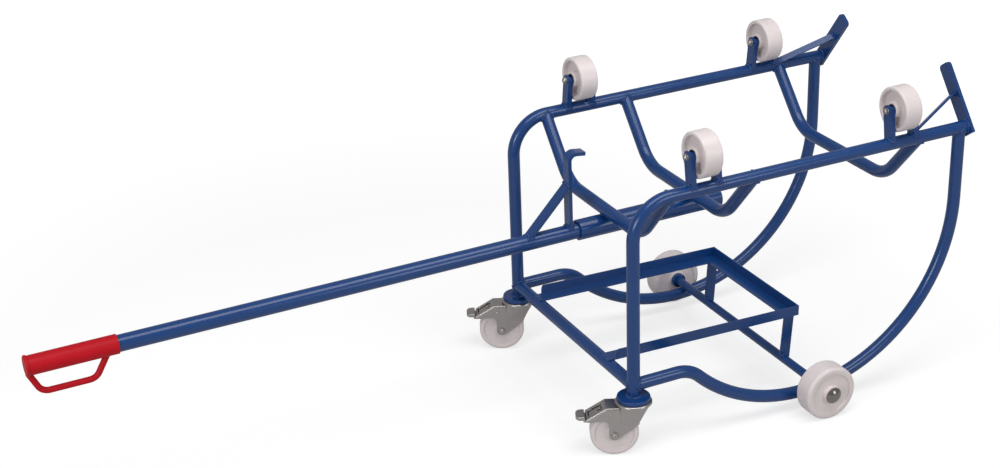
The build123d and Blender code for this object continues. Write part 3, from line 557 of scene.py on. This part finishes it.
for name, body, closed, loose in (("frame_welds", "frame", closed_paths, open_paths),
                                  ("hook_welds", "lever", lever_paths, ())):
    welds = grown(name, edge_mesh(name, closed, loose), weld_bead, Material=blue_coat)
    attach(welds, body)
    print(name, "has", len(welds.data.polygons), "faces")

# %% [markdown]
# ## Rivets and washers
# Small round fittings repeat all over the trolley: rivet heads on the brake covers, washers under the
# heads and nuts of the bolts, and the crowned tops of the bolt heads. All of them are turned shapes, so
# each is drawn once, as a half section that is swept about Z. A ring that lies on the axis shrinks to a
# point, where its corners are merged.

# %% Turned fittings
ON_AXIS = 1e-7


def turned(name, section, count=20):
    """Closed mesh made by turning a half section, given as (radius, height) pairs, about Z."""
    mesh = bmesh.new()
    rings = [[mesh.verts.new((x, y, h)) for x, y in round_outline(r, count)] for r, h in section]
    for low, high in zip(rings, rings[1:] + rings[:1]):
        for i in range(count):
            mesh.faces.new((low[i], low[i - 1], high[i - 1], high[i]))
    bmesh.ops.remove_doubles(mesh, verts=mesh.verts, dist=1e-6)
    bmesh.ops.recalc_face_normals(mesh, faces=mesh.faces)
    data = bpy.data.meshes.new(name)
    mesh.to_mesh(data)
    mesh.free()
    return data


rivet_head = turned("rivet_head", [(ON_AXIS, -0.0003), (0.0028, -0.0003), (0.0028, 0.0003),
                                   (0.0024, 0.0010), (0.0014, 0.0016), (ON_AXIS, 0.0018)])
washer = turned("washer", [(0.0042, 0), (0.0080, 0), (0.0080, 0.0012), (0.0076, 0.0015), (0.0042, 0.0015)])
bolt_crown = turned("bolt_crown", [(ON_AXIS, 0), (0.0062, 0), (0.0062, 0.0004), (0.0058, 0.0014),
                                   (0.0048, 0.0024), (0.0028, 0.0032), (ON_AXIS, 0.0035)])
print("a rivet head has", len(rivet_head.polygons), "faces, a washer", len(washer.polygons))

# %% [markdown]
# ## Copies of a fitting
# A second tree puts a copy of a fitting on every point of a mesh. The direction that each copy faces is
# stored on its point, and the tree turns the copy's Z axis to it, so one list of places is enough.

# %% Fitting tree
def fitting_tree():
    tree = bpy.data.node_groups.new("fittings", "GeometryNodeTree")
    face = tree.interface
    face.new_socket("Geometry", in_out="INPUT", socket_type="NodeSocketGeometry")
    face.new_socket("Fitting", in_out="INPUT", socket_type="NodeSocketObject")
    face.new_socket("Material", in_out="INPUT", socket_type="NodeSocketMaterial")
    face.new_socket("Geometry", in_out="OUTPUT", socket_type="NodeSocketGeometry")
    given = add_node(tree, "NodeGroupInput").outputs
    outward = add_node(tree, "GeometryNodeInputNamedAttribute", {"Name": "outward"},
                       data_type="FLOAT_VECTOR")
    turn = add_node(tree, "FunctionNodeAlignRotationToVector", {"Vector": outward.outputs["Attribute"]},
                    axis="Z")
    shape = add_node(tree, "GeometryNodeObjectInfo", {"Object": given["Fitting"]})
    copies = add_node(tree, "GeometryNodeInstanceOnPoints",
                      {"Points": given["Geometry"], "Instance": shape.outputs["Geometry"],
                       "Rotation": turn.outputs["Rotation"]})
    real = add_node(tree, "GeometryNodeRealizeInstances", {"Geometry": copies.outputs["Instances"]})
    plate = add_node(tree, "GeometryNodeSetMaterial", {"Geometry": real.outputs["Geometry"],
                                                       "Material": given["Material"]})
    add_node(tree, "NodeGroupOutput", {"Geometry": plate.outputs["Geometry"]})
    return tree


def fitted(name, mesh, places, body):
    """Copies of a fitting at (point, outward) places, as one piece that rides on a body."""
    points = bpy.data.meshes.new(name + "_points")
    points.from_pydata([p for p, way in places], [], [])
    outward = points.attributes.new("outward", "FLOAT_VECTOR", "POINT")
    for item, (p, way) in zip(outward.data, places):
        item.vector = way
    shape = bpy.data.objects.new(name + "_shape", mesh)
    piece = grown(name, points, fittings, Fitting=shape, Material=zinc_plate)
    bpy.data.objects.remove(shape)
    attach(piece, body)


fittings = fitting_tree()
print("the fitting tree has", len(fittings.nodes), "nodes")

# %% [markdown]
# ## Cheeks of the brake covers
# The sides of a brake cover reach down over the fork and end in an eye round the wheel's bolt. They are
# thin plates, so an outline and a thickness describe them, and only the eye needs a round of points.
# The fork is turned by 25 degrees, so the outline is given in the caster's own axes, with the origin
# under its flange and X along the wheel.

# %% Cover cheeks
FLANGE_UNDER = 0.1275
CASTER_TURN = radians(-25)
FORK_HALF = 0.0229
CHEEK_T = 0.0012
CHEEK_SUNK = 0.0002
EYE_R = 0.012
WHEEL_BOLT = (-0.042, -0.075)
CHEEK_EDGE = [(-0.030, -0.013), (-0.0595, -0.013), (-0.1015, -0.0386), (-0.0999, -0.0412),
              (-0.061, -0.040), (-0.054, -0.048)]


def caster_axes(side):
    """Axes of a caster: origin under its flange, X along its wheel."""
    place = Matrix.Translation((0, side * RAIL_Y, FLANGE_UNDER))
    return trolley @ place @ Matrix.Rotation(CASTER_TURN, 4, "Z")


def cheek_outline(count=12):
    """Lower half of the eye, then the plate's edges above it, as (x, z) points."""
    turns = [pi * i / count for i in range(count + 1)]
    return [(WHEEL_BOLT[0] - EYE_R * cos(a), WHEEL_BOLT[1] - EYE_R * sin(a)) for a in turns] + CHEEK_EDGE


def add_plate(mesh, outline, inner, outer):
    """Adds a closed plate with an (x, z) outline to a mesh, between two places along Y."""
    near, far = [[mesh.verts.new((x, y, z)) for x, z in outline] for y in (inner, outer)]
    mesh.faces.new(near)
    mesh.faces.new(far)
    for i in range(len(outline)):
        mesh.faces.new((near[i - 1], near[i], far[i], far[i - 1]))


def zinc_piece(name, mesh, axes, body):
    """Plated piece from a mesh that was drawn in other axes, riding on a body."""
    bmesh.ops.recalc_face_normals(mesh, faces=mesh.faces)
    mesh.transform(axes)
    data = bpy.data.meshes.new(name)
    mesh.to_mesh(data)
    mesh.free()
    data.materials.append(zinc_plate)
    piece = bpy.data.objects.new(name, data)
    bpy.context.scene.collection.objects.link(piece)
    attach(piece, body)
    print(name, "has", len(data.polygons), "faces")


for name, side in SIDES.items():
    cheeks = bmesh.new()
    for way in (-1, 1):
        add_plate(cheeks, cheek_outline(), way * (FORK_HALF - CHEEK_SUNK), way * (FORK_HALF + CHEEK_T))
    zinc_piece(f"{name}_cover_cheeks", cheeks, caster_axes(side), f"{name}_caster")

# %% [markdown]
# ## Rivets, washers and bolt crowns in place
# Each brake cover has a rivet on both sides, and the wheel's bolt a washer under its head and its nut.
# The roller bolts have their heads in front and their nuts behind, with a washer under each.

# %% Place the fittings
HEAD_T = 0.0053
RIVET = (-0.0515, -0.027)
STAND_HALF = 0.0366
ROLLER_RISE = 0.0744


def on_caster(axes, spot, out, ways=(-1, 1)):
    """Places at an (x, z) spot on the sides of a caster, at a distance from its middle."""
    x, z = spot
    return [(axes @ Vector((x, way * out, z)), axes.to_3x3() @ Vector((0, way, 0))) for way in ways]


def on_roller(side, x, way, out):
    """Place on a roller's axis, at a distance from the roller's middle."""
    centre = Vector((x, side * RAIL_Y, RAIL_Z)) + leaning(side, UPRIGHT_LEAN) * ROLLER_RISE
    return trolley @ (centre + Vector((way * out, 0, 0))), trolley.to_3x3() @ Vector(X) * way


for name, side in SIDES.items():
    axes, body = caster_axes(side), f"{name}_caster"
    fitted(f"{name}_fork_rivets", rivet_head, on_caster(axes, RIVET, FORK_HALF + CHEEK_T), body)
    fitted(f"{name}_wheel_bolt_washers", washer, on_caster(axes, WHEEL_BOLT, FORK_HALF + CHEEK_T), body)
    head = on_caster(axes, WHEEL_BOLT, FORK_HALF + HEAD_T, ways=(-1,))
    fitted(f"{name}_wheel_bolt_crown", bolt_crown, head, body)

stands = [(side, x) for side in SIDES.values() for x in ROLLER_XS]
washers = [on_roller(side, x, way, STAND_HALF) for side, x in stands for way in (-1, 1)]
crowns = [on_roller(side, x, -1, STAND_HALF + HEAD_T) for side, x in stands]
fitted("roller_washers", washer, washers, "frame")
fitted("roller_bolt_crowns", bolt_crown, crowns, "frame")
print(len(washers), "washers and", len(crowns), "crowned heads on the roller bolts")

# %% [markdown]
# ## Brake springs
# A window in each brake cover shows the leaf spring that snaps the pedal over: a bent strip with a raised
# lug. A strip is quick to draw from the side, as a path that is given a thickness and a width. It lies on
# the pedal's plate and rides on the pedal, so that it dips with it.

# %% Brake springs
COVER_BEND = (-0.061, 0, -0.010)
COVER_SLOPE = radians(-31.8)
LEAF = [(-0.042, -0.0040), (-0.037, -0.0038), (-0.030, -0.0030), (-0.022, -0.0030), (-0.015, -0.0038),
        (-0.012, -0.0040)]
LUG = [(-0.0215, -0.0026), (-0.0195, -0.0011), (-0.0130, -0.0011), (-0.0110, -0.0040)]


def bent_strip(mesh, path, width, thickness):
    """Adds a closed strip to a mesh, drawn from the side as (x, z) points and centred on Y."""
    rings = []
    for i, (x, z) in enumerate(path):
        before, after = path[max(i - 1, 0)], path[min(i + 1, len(path) - 1)]
        run = Vector((after[0] - before[0], after[1] - before[1])).normalized()
        top_x, top_z = x - run.y * thickness, z + run.x * thickness
        corners = [(x, -width, z), (x, width, z), (top_x, width, top_z), (top_x, -width, top_z)]
        rings.append([mesh.verts.new((cx, cy / 2, cz)) for cx, cy, cz in corners])
    for ring, following in zip(rings, rings[1:]):
        for k in range(4):
            mesh.faces.new((ring[k], ring[k - 1], following[k - 1], following[k]))
    mesh.faces.new(rings[0])
    mesh.faces.new(rings[-1])


for name, side in SIDES.items():
    slope = caster_axes(side) @ Matrix.Translation(COVER_BEND) @ Matrix.Rotation(COVER_SLOPE, 4, "Y")
    strips = bmesh.new()
    bent_strip(strips, LEAF, width=0.018, thickness=0.0008)
    bent_strip(strips, LUG, width=0.009, thickness=0.0006)
    zinc_piece(f"{name}_brake_spring", strips, slope, f"{name}_brake")

# %% [markdown]
# ## The set
# The trolley stands on a pale floor under soft studio light. The floor glows a little for the camera,
# and more the further away it is, so that it meets the white background with no edge, and still takes
# the trolley's shadow.

# %% Floor and background
MIRRORED = 0.25
AMBIENT = 0.36
FLOOR_HALF = 30


def floor_finish():
    material, tree, shader, place = new_material("pale_floor")
    seen = add_node(tree, "ShaderNodeLightPath")
    glow = add_node(tree, "ShaderNodeMath", {0: seen.outputs["Is Glossy Ray"], 1: MIRRORED,
                                             2: seen.outputs["Is Camera Ray"]}, operation="MULTIPLY_ADD")
    glow = add_node(tree, "ShaderNodeMath", {0: glow.outputs[0], 1: seen.outputs["Is Transmission Ray"]},
                    operation="MAXIMUM")
    away = add_node(tree, "ShaderNodeVectorMath", {0: place}, operation="LENGTH")
    fade = add_node(tree, "ShaderNodeMapRange",
                    {"Value": away.outputs["Value"], "From Min": 1.2, "From Max": 4.0,
                     "To Min": 0.64, "To Max": 1.0})
    strength = add_node(tree, "ShaderNodeMath", {0: glow.outputs[0], 1: fade.outputs["Result"]},
                        operation="MULTIPLY")
    tree.links.new(strength.outputs[0], shader.inputs["Emission Strength"])
    shader.inputs["Emission Color"].default_value = (1, 1, 1, 1)
    shader.inputs["Base Color"].default_value = linear("B4B4B4")
    shader.inputs["Roughness"].default_value = 0.9
    return material


corners = [(x * FLOOR_HALF, y * FLOOR_HALF, 0) for x, y in ((-1, -1), (1, -1), (1, 1), (-1, 1))]
floor_mesh = bpy.data.meshes.new("floor")
floor_mesh.from_pydata(corners, [], [(0, 1, 2, 3)])
floor_mesh.materials.append(floor_finish())
floor = bpy.data.objects.new("floor", floor_mesh)
bpy.context.scene.collection.objects.link(floor)

world = bpy.data.worlds.new("studio")
bpy.context.scene.world = world
world.use_nodes = True
sky_tree = world.node_tree
sky_tree.nodes.clear()
seen = add_node(sky_tree, "ShaderNodeLightPath").outputs
shown = add_node(sky_tree, "ShaderNodeMath", {0: seen["Is Camera Ray"], 1: seen["Is Transmission Ray"]},
                 operation="MAXIMUM")
mirrored = add_node(sky_tree, "ShaderNodeMath", {0: seen["Is Glossy Ray"], 1: MIRRORED},
                    operation="MULTIPLY")
bright = add_node(sky_tree, "ShaderNodeMath", {0: shown.outputs[0], 1: mirrored.outputs[0]},
                  operation="MAXIMUM")
strength = add_node(sky_tree, "ShaderNodeMath", {0: bright.outputs[0], 1: AMBIENT}, operation="MAXIMUM")
sky = add_node(sky_tree, "ShaderNodeBackground", {"Color": (1, 1, 1, 1), "Strength": strength.outputs[0]})
add_node(sky_tree, "ShaderNodeOutputWorld", {"Surface": sky.outputs["Background"]})
print("floor and background ready")

# %% [markdown]
# ## Light
# Bright lines run along the photographed tubes, so there was a long soft box overhead. Two more, further
# off to the right and to the left, lift the wheels' treads and the rollers' faces.

# %% Lamps
def soft_box(name, place, target, size, watts):
    """Rectangular lamp that points at a target."""
    lamp = bpy.data.lights.new(name, "AREA")
    lamp.shape = "RECTANGLE"
    lamp.size, lamp.size_y = size
    lamp.energy = watts
    box = bpy.data.objects.new(name, lamp)
    box.location = place
    box.rotation_euler = (Vector(target) - Vector(place)).to_track_quat("-Z", "Y").to_euler()
    bpy.context.scene.collection.objects.link(box)


soft_box("overhead_box", (0.3, -0.9, 3.2), (0.2, 0, 0.3), (3.2, 1.5), 48)
soft_box("right_box", (1.8, -3.8, 1.8), (0.3, 0, 0.4), (1.6, 1.6), 27)
soft_box("left_box", (-3.8, -2.0, 1.8), (0.2, 0, 0.4), (1.6, 1.6), 56)
print("three soft boxes")

# %% [markdown]
# ## Camera
# The photo's camera was found from the trolley's own lines: a long lens, about four metres away and
# 24 degrees above the floor. The picture is 1000 by 468 pixels.

# %% Camera
camera = bpy.data.cameras.new("camera")
camera.sensor_width = 36
camera.lens = 65.923
camera_object = bpy.data.objects.new("camera", camera)
camera_object.location = (-1.55271, -3.21363, 2.04717)
camera_object.rotation_euler = (radians(65.766), radians(0.469), radians(-26.07))
bpy.context.scene.collection.objects.link(camera_object)
bpy.context.scene.camera = camera_object
bpy.context.scene.view_settings.view_transform = "Standard"
print("camera at", camera_object.location)
